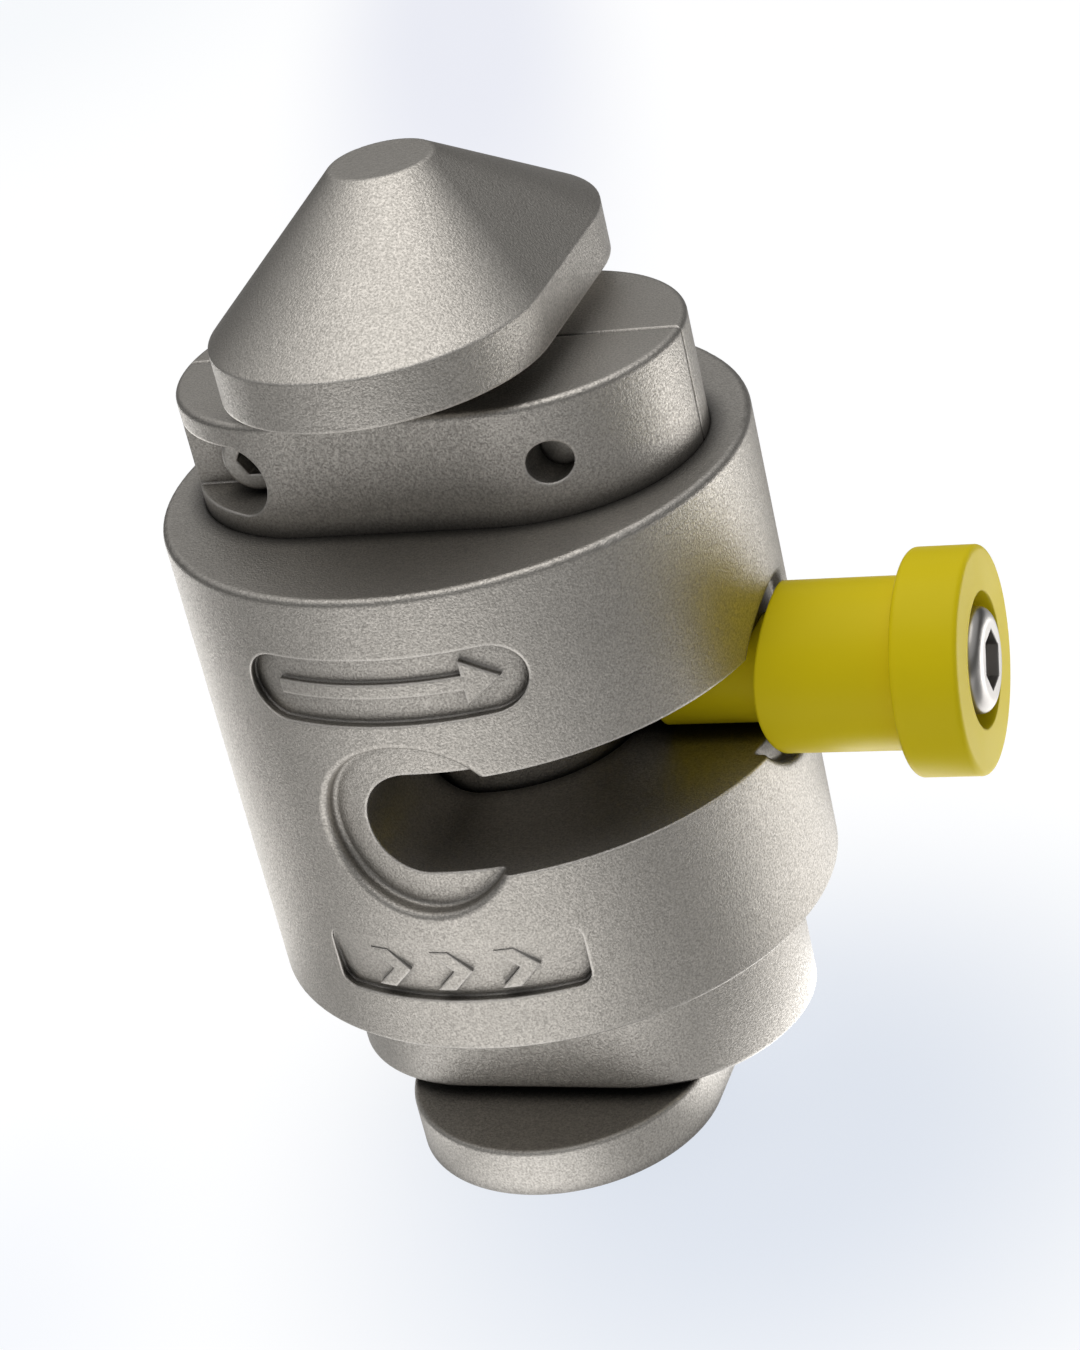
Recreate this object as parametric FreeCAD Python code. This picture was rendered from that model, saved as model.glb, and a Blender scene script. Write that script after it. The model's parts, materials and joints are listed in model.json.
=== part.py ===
import FreeCAD, Part
import os
from math import cos, radians, sin, sqrt

from FreeCAD import Vector

# Container twistlock: a round body with a stadium collar above and below, a spindle with a
# cone head above and a flat head below, and a sprung handle sleeve that swings in a slot.
# Frame: origin at the centre of the lower head's flat underside, on the twist axis, +Z up.
# The handle points along +X in the locked position and along -Y in the unlocked one.
# All sizes are millimetres.

# Heads: flats along Y and half-round ends
head_width = 62.0
upper_head_length = 95.7
upper_head_flank = 9.5
cone_height = 21.7
cone_top_radius = 9.8
cone_top_round = 1.0
lower_head_length = 98.9
lower_head_thick = 10.2
lower_head_round = 1.0

# Body
body_radius = 56.5
body_height = 96.3
body_top_round = 1.3
body_foot_chamfer = 0.6

# Collars
upper_collar_length = 98.9
lower_collar_length = 95.6
collar_width = 62.0
upper_collar_height = 22.7
lower_collar_height = 28.5
collar_top_round = 1.2
collar_foot_chamfer = 1.0
collar_seam = 1.0
collar_recess = 1.0
collar_recess_clear = 0.1
upper_head_clear = 28.3
lower_head_clear = 29.6

# Spindle
shaft_radius = 17.0
hub_radius = 24.5
hub_below_handle = 17.5
hub_chamfer = 1.0
neck_groove_depth = 2.4
neck_groove_width = 5.6
neck_groove_above_body = 8.0
tenon_radius = 12.2
tenon_flats = 18.8
lower_boss_radius = 16.0
lower_boss_height = 6.2
run_clear = 0.06
hub_bore_clear = 1.0

# Bearings
lower_bush_wall = 2.34
lower_bush_inset = 1.0
thrust_washer_thick = 2.0
thrust_gap = 0.3
washer_split_gap = 0.4
upper_bush_wall = 3.24
upper_bush_above_slot = 2.8

# Handle slot and its two pockets
slot_height = 21.2
pocket_radius = 17.7
pocket_depth = 3.5
pocket_rim_round = 1.2
pocket_floor_round = 0.8
swing_angle = 90.0

# Handle
sleeve_radius = 16.3
saddle_clear = 0.3
tongue_length = 24.2
tongue_clear = 0.35
flange_radius = 21.4
flange_thick = 12.7
flange_round = 1.1
handle_beyond_body = 37.8
spring_bore_radius = 12.8
spring_seat_inset = 2.0
tube_radius = 7.5
tube_seat_depth = 4.2
sleeve_run_clear = 0.06
bush_wall = 1.2
bush_inset = 1.0

# Handle screw, washers and spring
screw_radius = 6.0
screw_head_radius = 9.7
screw_head_height = 9.4
screw_head_round = 2.8
screw_proud = 2.4
screw_hex = 9.8
screw_hex_depth = 5.6
screw_engage = 28.0
lock_washer_thick = 1.4
lock_washer_radius = 9.0
stop_washer_thick = 2.0
stop_washer_clear = 0.3
spring_wire = 2.2
spring_mean_radius = 10.7
spring_turns = 5.5
hole_clear = 0.2

# Collar clamp screws and dowels
clamp_offset = 30.7
clamp_height = 11.0
clamp_face = 14.1
clamp_face_radius = 7.0
clamp_seat = 11.7
clamp_seat_radius = 6.8
clamp_radius = 4.0
clamp_head_radius = 6.5
clamp_head_height = 8.0
clamp_head_round = 0.8
clamp_hex = 6.0
clamp_hex_depth = 4.0
clamp_hole_clear = 0.3
clamp_length = 33.0
thread_clear = 0.05
dowel_radius = 2.4
dowel_length = 15.0
dowel_in_body = 8.5
dowel_x = 24.5
dowel_y = 20.2
collar_bore_clear = 0.5
groove_run_clear = 0.4

# Lower head fixing
disc_radius = 14.1
disc_thick = 5.9
disc_inset = 0.2
fixing_radius = 5.0
fixing_head_radius = 9.2
fixing_length = 26.5
fixing_hex = 6.0
fixing_hex_depth = 3.2
tenon_clear = 0.1
end_gap = 0.4

# Label recesses on the unlocked side
label_depth = 1.9
upper_label_length = 53.7
upper_label_height = 13.6
upper_label_below_top = 18.7
lower_label_length = 50.4
lower_label_height = 13.1
lower_label_below_top = 78.4
lower_label_corner = 2.8
relief_height = 1.2
relief_margin = 2.4
relief_stroke = 2.8
relief_root = 0.5
chevron_inset = 0.15

# Levels that follow from the sizes above
z_lower_head_top = lower_head_thick
z_body_foot = z_lower_head_top + lower_head_clear
z_body_top = z_body_foot + body_height
z_collar_top = z_body_top + upper_collar_height
z_collar_foot = z_body_foot - lower_collar_height
z_head_foot = z_body_top + upper_head_clear
z_head_flank = z_head_foot + upper_head_flank
z_boss_top = z_lower_head_top + lower_boss_height
z_handle = z_body_foot + body_height / 2.0
z_hub_foot = z_handle - hub_below_handle
z_collar_seat = z_body_top - collar_recess
z_hub_top = z_collar_seat - thrust_washer_thick - thrust_gap
z_cavity_floor = z_hub_foot - thrust_washer_thick
cavity_radius = hub_radius + hub_bore_clear
slot_radius = slot_height / 2.0
z_upper_bush = z_handle + slot_radius + upper_bush_above_slot
upper_seat_radius = hub_radius + run_clear + upper_bush_wall
lower_seat_radius = shaft_radius + run_clear + lower_bush_wall
tongue_radius = slot_radius - tongue_clear
handle_reach = body_radius + handle_beyond_body
pocket_floor = body_radius - pocket_depth
x_screw_front = handle_reach + screw_proud
x_screw_seat = x_screw_front - screw_head_height
x_stop_washer = x_screw_seat - lock_washer_thick - stop_washer_thick
saddle_radius = body_radius + saddle_clear
sleeve_inner_end = saddle_radius - tongue_length
x_spring_seat = saddle_radius + spring_seat_inset
x_tube_seat = hub_radius - tube_seat_depth

UP = Vector(0, 0, 1)
OUT = Vector(1, 0, 0)
ACROSS = Vector(0, 1, 0)
ORIGIN = Vector(0, 0, 0)


def cylinder(radius, z_low, z_high, x=0.0, y=0.0):
    """Upright cylinder between two levels."""
    return Part.makeCylinder(radius, z_high - z_low, Vector(x, y, z_low), UP)


def ring(inner, outer, z_low, z_high):
    """Upright ring on the twist axis."""
    return cylinder(outer, z_low, z_high).cut(cylinder(inner, z_low - 1, z_high + 1))


def handle_cylinder(radius, x_low, x_high):
    """Cylinder on the handle's axis."""
    return Part.makeCylinder(radius, x_high - x_low, Vector(x_low, 0, z_handle), OUT)


def handle_ring(inner, outer, x_low, x_high):
    """Ring on the handle's axis."""
    return handle_cylinder(outer, x_low, x_high).cut(handle_cylinder(inner, x_low - 1, x_high + 1))


def turned(profile, centre, axis):
    """Solid turned from a closed list of points in one half-plane."""
    face = Part.Face(Part.makePolygon(profile + [profile[0]]))
    return face.revolve(centre, axis, 360)


def handle_turned(points):
    """Solid turned about the handle's axis from (x, radius) points."""
    profile = [Vector(x, 0, z_handle + radius) for x, radius in points]
    return turned(profile, Vector(0, 0, z_handle), OUT)


def arc(centre_x, centre_y, radius, start, end, z):
    """Arc in a level plane between two angles in degrees."""
    points = []
    for angle in (start, (start + end) / 2.0, end):
        turn = radians(angle)
        points.append(Vector(centre_x + radius * cos(turn), centre_y + radius * sin(turn), z))
    return Part.Arc(*points).toShape()


def line(start, end):
    return Part.LineSegment(start, end).toShape()


def round_edges(solid, radius, chosen):
    """Round the edges that a test picks."""
    return solid.makeFillet(radius, [edge for edge in solid.Edges if chosen(edge)])


def chamfer_edges(solid, size, chosen):
    """Chamfer the edges that a test picks."""
    return solid.makeChamfer(size, [edge for edge in solid.Edges if chosen(edge)])


def level_at(edge, z):
    """Whether an edge lies wholly at one level."""
    box = edge.BoundBox
    return abs(box.ZMin - z) < 1e-3 and abs(box.ZMax - z) < 1e-3


def upright_at(edge, x):
    """Whether an edge lies wholly in one plane across the handle."""
    box = edge.BoundBox
    return abs(box.XMin - x) < 1e-3 and abs(box.XMax - x) < 1e-3


def stadium(length, width, z_low, z_high):
    """Prism with straight sides along X and half-round ends."""
    radius = width / 2.0
    reach = length / 2.0 - radius
    right = arc(reach, 0, radius, -90, 90, z_low)
    left = arc(-reach, 0, radius, 90, 270, z_low)
    back = line(Vector(reach, radius, z_low), Vector(-reach, radius, z_low))
    front = line(Vector(-reach, -radius, z_low), Vector(reach, -radius, z_low))
    return Part.Face(Part.Wire([right, back, left, front])).extrude(UP * (z_high - z_low))


def half_turn(shape):
    """Copy of a shape turned half a turn about the twist axis."""
    copy = shape.copy()
    copy.rotate(ORIGIN, UP, 180)
    return copy


def hexagon(across_flats, depth, centre, direction):
    """Hexagonal prism for a socket, cut along a direction."""
    corner = across_flats / sqrt(3.0)
    points = [Vector(corner * cos(radians(60 * i)), corner * sin(radians(60 * i)), 0) for i in range(7)]
    prism = Part.Face(Part.makePolygon(points)).extrude(UP * depth)
    prism.Placement = FreeCAD.Placement(centre, FreeCAD.Rotation(UP, direction))
    return prism


def across(shape):
    """A shape turned so that what lay along X lies along Y."""
    shape.rotate(ORIGIN, UP, 90)
    return shape


def head_cone(z_low, z_high):
    """Skin stretched from the head's outline up to a small round top."""
    radius = head_width / 2.0
    reach = upper_head_length / 2.0 - radius
    rear_foot = arc(0, reach, radius, 0, 180, z_low)
    front_foot = arc(0, -reach, radius, 180, 360, z_low)
    rear_top = arc(0, 0, cone_top_radius, 0, 180, z_high)
    front_top = arc(0, 0, cone_top_radius, 180, 360, z_high)
    faces = [Part.makeRuledSurface(rear_foot, rear_top), Part.makeRuledSurface(front_foot, front_top)]
    flats = []
    for side in (-1, 1):
        ends = [Vector(side * radius, y, z_low) for y in (-reach, reach)]
        tip = Vector(side * cone_top_radius, 0, z_high)
        flats.append(line(*ends))
        faces.append(Part.Face(Part.makePolygon([*ends, tip, ends[0]])))
    faces.append(Part.Face(Part.Wire([rear_foot, flats[0], front_foot, flats[1]])))
    faces.append(Part.Face(Part.Wire([rear_top, front_top])))
    shell = Part.makeShell(faces)
    shell.sewShape()
    solid = Part.makeSolid(shell)
    if solid.Volume < 0:
        solid.reverse()
    return solid


def label_tool(outline):
    """Recess of constant depth in the body's wall from an outline extruded along -Y."""
    shell = ring(body_radius - label_depth, body_radius + 5, z_body_foot - 1, z_body_top + 1)
    return outline.common(shell)


def sloping_label_tool(outline):
    """Recess that deepens downward from nothing at its upper edge, as it draws from the mould."""
    low = z_body_top - lower_label_below_top - lower_label_height / 2.0
    core = Part.makeCone(body_radius - label_depth, body_radius, lower_label_height, Vector(0, 0, low), UP)
    band = cylinder(body_radius + 5, low, low + lower_label_height)
    return outline.common(band.cut(core))


def rounded_plate(length, height, corner, z_middle):
    """Rounded rectangle in the XZ plane, extruded towards -Y from the twist axis."""
    plate = Part.makeBox(length, body_radius + 5, height,
                         Vector(-length / 2.0, -body_radius - 5, z_middle - height / 2.0))
    return round_edges(plate, corner, lambda edge: edge.BoundBox.YLength > body_radius)


def handle_slot():
    """Space that the tongue swings through, from the locked to the unlocked pocket."""
    reach = body_radius + 5
    low = z_handle - slot_radius
    sector = Part.makeCylinder(reach, slot_height, Vector(0, 0, low), UP, swing_angle)
    sector.rotate(ORIGIN, UP, -swing_angle)
    locked_end = handle_cylinder(slot_radius, 0, reach)
    unlocked_end = locked_end.copy()
    unlocked_end.rotate(ORIGIN, UP, -swing_angle)
    return sector.fuse([locked_end, unlocked_end])


def pocket():
    """Round seat for the sleeve's saddle, with a floor that follows the wall."""
    seat = handle_cylinder(pocket_radius, 0, body_radius + 5)
    band = ring(pocket_floor, body_radius + 10, z_handle - 2 * pocket_radius, z_handle + 2 * pocket_radius)
    return round_edges(seat.common(band), pocket_floor_round,
                       lambda edge: edge.BoundBox.XMax < pocket_floor + 0.01)


def unlocked(shape):
    """Copy of a shape at the locked position, turned to the unlocked one."""
    copy = shape.copy()
    copy.rotate(ORIGIN, UP, -swing_angle)
    return copy


def relief_prism(outline, face_depth):
    """Raised symbol in a label recess, from an outline of (x, z) points and its face's depth."""
    floor = body_radius - label_depth
    polygon = [Vector(x, -floor / 2.0, z) for x, z in outline]
    prism = Part.Face(Part.makePolygon(polygon + [polygon[0]])).extrude(ACROSS * -body_radius)
    return prism.common(ring(floor - relief_root, body_radius - face_depth, z_body_foot, z_body_top))


def arrow_outline(z_middle):
    """Plain arrow that shows the way the handle swings to lock."""
    reach = upper_label_length / 2.0 - upper_label_height / 2.0
    head = upper_label_height / 2.0 - relief_margin
    bar = relief_stroke / 2.0
    neck = reach - head
    return [(-reach, z_middle - bar), (neck, z_middle - bar), (neck, z_middle - head),
            (reach + 2, z_middle), (neck, z_middle + head), (neck, z_middle + bar),
            (-reach, z_middle + bar)]


def chevron_outline(x, z_middle):
    """One of the plain chevrons in the lower label recess."""
    tall = lower_label_height / 2.0 - relief_margin
    thick = relief_stroke * 1.3
    return [(x - tall / 2, z_middle - tall), (x - tall / 2 + thick, z_middle - tall),
            (x + tall / 2 + thick, z_middle), (x - tall / 2 + thick, z_middle + tall),
            (x - tall / 2, z_middle + tall), (x + tall / 2, z_middle)]


def label_relief():
    """Raised arrow and chevrons cast on the floors of the label recesses."""
    upper_level = z_body_top - upper_label_below_top
    lower_level = z_body_top - lower_label_below_top
    pitch = lower_label_length / 4.0
    arrow = relief_prism(arrow_outline(upper_level), label_depth - relief_height)
    chevrons = [relief_prism(chevron_outline(pitch * step - relief_stroke / 2, lower_level), chevron_inset)
                for step in (-1, 0, 1)]
    return [arrow] + chevrons


def make_housing():
    """Cast body with its lower collar, bearing bores, handle slot, pockets and label recesses."""
    body = cylinder(body_radius, z_body_foot, z_body_top)
    body = body.cut([pocket(), unlocked(pocket())])

    def pocket_rim(edge):
        box = edge.BoundBox
        reach = max(box.XMax, -box.YMin)
        return abs(box.ZLength - 2 * pocket_radius) < 0.1 and reach > body_radius - 0.1
    body = round_edges(body, pocket_rim_round, pocket_rim)
    body = round_edges(body, body_top_round, lambda edge: level_at(edge, z_body_top))
    body = chamfer_edges(body, body_foot_chamfer, lambda edge: level_at(edge, z_body_foot))
    collar = stadium(lower_collar_length, collar_width, z_collar_foot, z_body_foot + 5)
    collar = chamfer_edges(collar, collar_foot_chamfer, lambda edge: level_at(edge, z_collar_foot))
    body = body.fuse(collar)
    upper_label = rounded_plate(upper_label_length, upper_label_height,
                                upper_label_height / 2.0 - 0.01, z_body_top - upper_label_below_top)
    lower_label = rounded_plate(lower_label_length, lower_label_height,
                                lower_label_corner, z_body_top - lower_label_below_top)
    cuts = [
        cylinder(cavity_radius, z_cavity_floor, z_upper_bush + 1),
        cylinder(upper_seat_radius, z_upper_bush, z_body_top + 1),
        stadium(upper_collar_length + 2 * collar_recess_clear, collar_width + 2 * collar_recess_clear,
                z_collar_seat, z_body_top + 1),
        cylinder(lower_seat_radius, z_collar_foot - 1, z_cavity_floor + 1),
        handle_slot(),
        label_tool(upper_label),
        sloping_label_tool(lower_label),
    ]
    cuts += dowel_set(dowel_radius, z_body_top - dowel_in_body, z_body_top + 1)
    return body.cut(cuts).fuse(label_relief())


def dowel_set(radius, z_low, z_high):
    """The two dowel positions between the body and the split collar."""
    return [cylinder(radius, z_low, z_high, dowel_x, -dowel_y),
            cylinder(radius, z_low, z_high, -dowel_x, dowel_y)]


def clamp_height_level():
    return z_body_top + clamp_height


def clamp_cylinder(radius, y_low, y_high):
    """Cylinder on the left clamp screw's axis, along Y."""
    start = Vector(-clamp_offset, y_low, clamp_height_level())
    return Part.makeCylinder(radius, y_high - y_low, start, ACROSS)


def clamp_cuts():
    """Spot face, head seat, shank hole and through thread of the left clamp screw."""
    outside = collar_width
    run_out = upper_collar_length / 2.0
    face = clamp_cylinder(clamp_face_radius, -outside, -clamp_face)
    open_end = Part.makeBox(run_out, outside - clamp_face, 2 * clamp_face_radius,
                            Vector(-clamp_offset - run_out, -outside,
                                   clamp_height_level() - clamp_face_radius))
    seat = clamp_cylinder(clamp_seat_radius, -clamp_face - 1, -clamp_seat)
    shank = clamp_cylinder(clamp_radius + clamp_hole_clear, -clamp_seat - 1, 0)
    thread = clamp_cylinder(clamp_radius + thread_clear, -0.5, outside)
    return [face, open_end, seat, shank, thread]


def seam_cuts():
    """V grooves along the collar's parting line, over the top and down both ends."""
    side = collar_seam * sqrt(2.0) / 2.0
    reach = upper_collar_length / 2.0
    top = Part.makeBox(2 * reach + 4, side, side, Vector(-reach - 2, -side / 2.0, -side / 2.0))
    top.rotate(ORIGIN, OUT, 45)
    top.translate(Vector(0, 0, z_collar_top))
    ends = []
    for x in (-reach, reach):
        end = Part.makeBox(side, side, upper_collar_height + 4, Vector(-side / 2.0, -side / 2.0, z_body_top - 2))
        end.rotate(ORIGIN, UP, 45)
        end.translate(Vector(x, 0, 0))
        ends.append(end)
    return [top] + ends


def make_collar_half():
    """Front half of the upper collar: the rear half is the same piece turned half a turn."""
    collar = stadium(upper_collar_length, collar_width, z_collar_seat, z_collar_top)
    collar = round_edges(collar, collar_top_round, lambda edge: level_at(edge, z_collar_top))
    groove_low = z_body_top + neck_groove_above_body
    rib_low = groove_low + groove_run_clear
    rib_high = groove_low + neck_groove_width - groove_run_clear
    bore = shaft_radius + collar_bore_clear
    rib_bore = shaft_radius - neck_groove_depth + groove_run_clear
    cuts = [
        cylinder(bore, z_collar_seat - 1, rib_low),
        cylinder(rib_bore, rib_low - 0.5, rib_high + 0.5),
        cylinder(bore, rib_high, z_collar_top + 1),
    ]
    cuts += dowel_set(dowel_radius, z_collar_seat - 1, z_body_top - dowel_in_body + dowel_length)
    cuts += clamp_cuts() + [half_turn(cut) for cut in clamp_cuts()] + seam_cuts()
    collar = collar.cut(cuts)
    front = Part.makeBox(upper_collar_length + 2, collar_width, upper_collar_height + collar_recess + 2,
                         Vector(-upper_collar_length / 2.0 - 1, -collar_width, z_collar_seat - 1))
    return collar.common(front).removeSplitter()


def make_clamp_screw():
    """Left clamp screw, driven from the front."""
    head = clamp_cylinder(clamp_head_radius, -clamp_seat - clamp_head_height, -clamp_seat)
    shank = clamp_cylinder(clamp_radius, -clamp_seat - 0.5, clamp_length - clamp_seat)
    socket_start = Vector(-clamp_offset, -clamp_seat - clamp_head_height - 0.01, clamp_height_level())
    socket = hexagon(clamp_hex, clamp_hex_depth, socket_start, ACROSS)
    head_front = -clamp_seat - clamp_head_height
    screw = head.fuse(shank).cut(socket).removeSplitter()

    def front_rim(edge):
        box = edge.BoundBox
        flat = abs(box.YMin - head_front) < 1e-3 and abs(box.YMax - head_front) < 1e-3
        return flat and box.XLength > clamp_head_radius * 1.5
    return round_edges(screw, clamp_head_round, front_rim)


def tenon(clear):
    """Flat-sided end that carries the lower head, grown by a clearance."""
    round_part = cylinder(tenon_radius + clear, 0, z_boss_top)
    flats = Part.makeBox(tenon_flats + 2 * clear, 4 * tenon_radius, z_boss_top + 2,
                         Vector(-tenon_flats / 2.0 - clear, -2 * tenon_radius, -1))
    return round_part.common(flats)


def make_spindle():
    """Forged spindle: shaft, hub, grooved neck and upper cone head in one piece."""
    hub = cylinder(hub_radius, z_hub_foot, z_hub_top)
    hub = chamfer_edges(hub, hub_chamfer,
                        lambda edge: level_at(edge, z_hub_foot) or level_at(edge, z_hub_top))
    shaft = cylinder(shaft_radius, z_boss_top, z_head_foot + 1)
    tenon_foot = disc_inset + disc_thick + end_gap
    end = tenon(0).cut(Part.makeBox(200, 200, 2 * tenon_foot, Vector(-100, -100, -tenon_foot)))
    plate = across(stadium(upper_head_length, head_width, z_head_foot, z_head_flank))
    z_tip = z_head_flank + cone_height
    head = plate.fuse(head_cone(z_head_flank, z_tip)).removeSplitter()
    head = round_edges(head, cone_top_round, lambda edge: level_at(edge, z_tip))
    groove_low = z_body_top + neck_groove_above_body
    groove = ring(shaft_radius - neck_groove_depth, shaft_radius + 1,
                  groove_low, groove_low + neck_groove_width)
    cuts = [
        groove,
        handle_cylinder(tube_radius + thread_clear, x_tube_seat, hub_radius + 1),
        handle_cylinder(screw_radius + thread_clear, x_tube_seat - screw_engage - 2, x_tube_seat + 1),
        cylinder(fixing_radius + thread_clear, -1, fixing_length + 3),
    ]
    return hub.fuse([shaft, end, head]).cut(cuts).removeSplitter()


def make_lower_head():
    """Flat lower head with its boss, keyed on the spindle's flat-sided end."""
    plate = across(stadium(lower_head_length, head_width, 0, z_lower_head_top))
    plate = round_edges(plate, lower_head_round, lambda edge: level_at(edge, z_lower_head_top))
    boss = cylinder(lower_boss_radius, z_lower_head_top - 1, z_boss_top)
    counterbore = cylinder(disc_radius + 0.1, -1, disc_inset + disc_thick)
    return plate.fuse(boss).cut([tenon(tenon_clear), counterbore]).removeSplitter()


def fixing_cone(clear):
    """Countersunk screw head from below, grown by a clearance."""
    top = disc_inset + fixing_head_radius - fixing_radius
    profile = [
        Vector(0, 0, disc_inset - clear * 2),
        Vector(fixing_head_radius + clear * 3, 0, disc_inset - clear * 2),
        Vector(fixing_radius + clear, 0, top),
        Vector(0, 0, top),
    ]
    return turned(profile, ORIGIN, UP)


def make_retaining_disc():
    """Disc that clamps the lower head against the shaft's shoulder."""
    disc = cylinder(disc_radius, disc_inset, disc_inset + disc_thick)
    disc = chamfer_edges(disc, 0.5, lambda edge: level_at(edge, disc_inset))
    hole = cylinder(fixing_radius + hole_clear, 0, disc_inset + disc_thick + 1)
    return disc.cut([hole, fixing_cone(0.05)]).removeSplitter()


def make_retaining_screw():
    """Countersunk screw in the spindle's lower end."""
    shank = cylinder(fixing_radius, disc_inset + 1, fixing_length)
    socket = hexagon(fixing_hex, fixing_hex_depth, Vector(0, 0, disc_inset - 0.01), UP)
    return fixing_cone(0).fuse(shank).cut(socket).removeSplitter()


def make_upper_bush():
    """Bearing bush in the body's upper bore, round the spindle's hub."""
    bush = ring(hub_radius + run_clear, upper_seat_radius, z_upper_bush, z_hub_top)
    return chamfer_edges(bush, 0.5, lambda edge: level_at(edge, z_upper_bush))


def make_lower_bush():
    """Bearing bush through the body's floor and the lower collar."""
    bush = ring(shaft_radius + run_clear, lower_seat_radius,
                z_collar_foot + lower_bush_inset, z_cavity_floor)
    return chamfer_edges(bush, 0.4, lambda edge: level_at(edge, z_collar_foot + lower_bush_inset))


def make_lower_washer():
    """Thrust washer between the body's floor and the hub."""
    return ring(shaft_radius + hole_clear, hub_radius, z_cavity_floor, z_hub_foot)


def make_upper_washer():
    """Thrust washer over the hub in two halves, since no ring passes the spindle's head."""
    washer = ring(shaft_radius + hole_clear, upper_seat_radius - hole_clear,
                  z_collar_seat - thrust_washer_thick, z_collar_seat)
    size = 3 * upper_seat_radius
    half_box = Part.makeBox(size, size, size, Vector(-size / 2.0, washer_split_gap / 2.0, z_hub_top - size / 2.0))
    rear = washer.common(half_box)
    return Part.makeCompound([rear, half_turn(rear)])


def make_stem_tube():
    """Steel tube that the sleeve slides on, clamped between hub and stop washer."""
    return handle_ring(screw_radius + 0.1, tube_radius, x_tube_seat, x_stop_washer)


def make_stop_washer():
    """Washer that holds the spring's outer end."""
    outer = spring_bore_radius - stop_washer_clear
    return handle_ring(screw_radius + hole_clear, outer, x_stop_washer, x_stop_washer + stop_washer_thick)


def make_lock_washer():
    """Locking washer under the screw's head."""
    low = x_stop_washer + stop_washer_thick
    return handle_ring(screw_radius + hole_clear, lock_washer_radius, low, low + lock_washer_thick)


def make_handle_screw():
    """Socket cap screw through the tube into the hub, with a rounded head."""
    head = handle_cylinder(screw_head_radius, x_screw_seat, x_screw_front)
    head = round_edges(head, screw_head_round, lambda edge: upright_at(edge, x_screw_front))
    shank = handle_cylinder(screw_radius, x_tube_seat - screw_engage, x_screw_seat + 1)
    socket = hexagon(screw_hex, screw_hex_depth + 0.01,
                     Vector(x_screw_front - screw_hex_depth, 0, z_handle), OUT)
    return head.fuse(shank).cut(socket).removeSplitter()


def make_handle_sleeve():
    """Moulded sleeve: tongue, saddle that fits the wall, grip and flange, bored for bush and spring."""
    x_flange = handle_reach - flange_thick
    x_saddle = saddle_radius - sleeve_radius
    bush_seat = tube_radius + sleeve_run_clear + bush_wall
    tongue = handle_cylinder(tongue_radius, sleeve_inner_end, saddle_radius + 1)
    outside = handle_turned([
        (x_saddle, 0.0),
        (x_saddle, sleeve_radius),
        (x_flange, sleeve_radius),
        (x_flange, flange_radius),
        (handle_reach, flange_radius),
        (handle_reach, 0.0),
    ])

    def rims(edge):
        box = edge.BoundBox
        flange = upright_at(edge, x_flange) or upright_at(edge, handle_reach)
        return flange and box.YLength > 2 * sleeve_radius + 1
    outside = round_edges(outside, flange_round, rims)
    outside = outside.cut(cylinder(saddle_radius, z_handle - flange_radius, z_handle + flange_radius))
    outside = outside.fuse(tongue)
    cuts = [
        handle_cylinder(spring_bore_radius, x_spring_seat, handle_reach + 1),
        handle_cylinder(bush_seat, sleeve_inner_end - 1, x_spring_seat + 1),
    ]
    return outside.cut(cuts).removeSplitter()


def make_sleeve_bush():
    """Bronze bush pressed in the sleeve, running on the tube."""
    inner = tube_radius + sleeve_run_clear
    return handle_ring(inner, inner + bush_wall, sleeve_inner_end + bush_inset, x_spring_seat)


def make_handle_spring():
    """Compression spring between the sleeve's seat and the stop washer."""
    length = x_stop_washer - x_spring_seat - spring_wire
    helix = Part.makeHelix(length / spring_turns, length, spring_mean_radius)
    section = Part.Wire(Part.makeCircle(spring_wire / 2.0, Vector(spring_mean_radius, 0, 0), ACROSS))
    spring = Part.Wire(helix.Edges).makePipeShell([section], True, True)
    start = Vector(x_spring_seat + spring_wire / 2.0, 0, z_handle)
    spring.Placement = FreeCAD.Placement(start, FreeCAD.Rotation(UP, OUT))
    return spring


def make_all():
    """Every piece of the twistlock, by node name."""
    front_half = make_collar_half()
    clamp_screw = make_clamp_screw()
    dowels = dowel_set(dowel_radius, z_body_top - dowel_in_body,
                       z_body_top - dowel_in_body + dowel_length)
    return {
        "housing": make_housing(),
        "collar_half_front": front_half,
        "collar_half_rear": half_turn(front_half),
        "collar_screws": Part.makeCompound([clamp_screw, half_turn(clamp_screw)]),
        "collar_dowels": Part.makeCompound(dowels),
        "upper_bush": make_upper_bush(),
        "upper_thrust_washer": make_upper_washer(),
        "lower_thrust_washer": make_lower_washer(),
        "lower_bush": make_lower_bush(),
        "spindle": make_spindle(),
        "lower_head": make_lower_head(),
        "retaining_disc": make_retaining_disc(),
        "retaining_screw": make_retaining_screw(),
        "stem_tube": make_stem_tube(),
        "stop_washer": make_stop_washer(),
        "lock_washer": make_lock_washer(),
        "handle_screw": make_handle_screw(),
        "handle_sleeve": make_handle_sleeve(),
        "sleeve_bush": make_sleeve_bush(),
        "handle_spring": make_handle_spring(),
    }


def main():
    os.makedirs("parts", exist_ok=True)
    for name, shape in make_all().items():
        shape.exportStep("parts/" + name + ".step")
        box = shape.BoundBox
        print(name, len(shape.Solids), shape.isValid(), round(shape.Volume, 1),
              [round(value, 1) for value in (box.XMin, box.YMin, box.ZMin, box.XMax, box.YMax, box.ZMax)])


main()
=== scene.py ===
"""Container twistlock: finishes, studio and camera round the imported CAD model.

The sub-assemblies are classes: the cast body with its split collar, the twist shaft with its two
heads, and the sprung handle grip. Every length is in metres, in the CAD model's frame: the twist
axis is +Z, the handle points along +X at rest and swings round to the pocket that faces -Y.
"""

from __future__ import annotations

import json
import logging
import math
from dataclasses import dataclass
from enum import Enum

import bpy
from mathutils import Matrix, Vector

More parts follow.
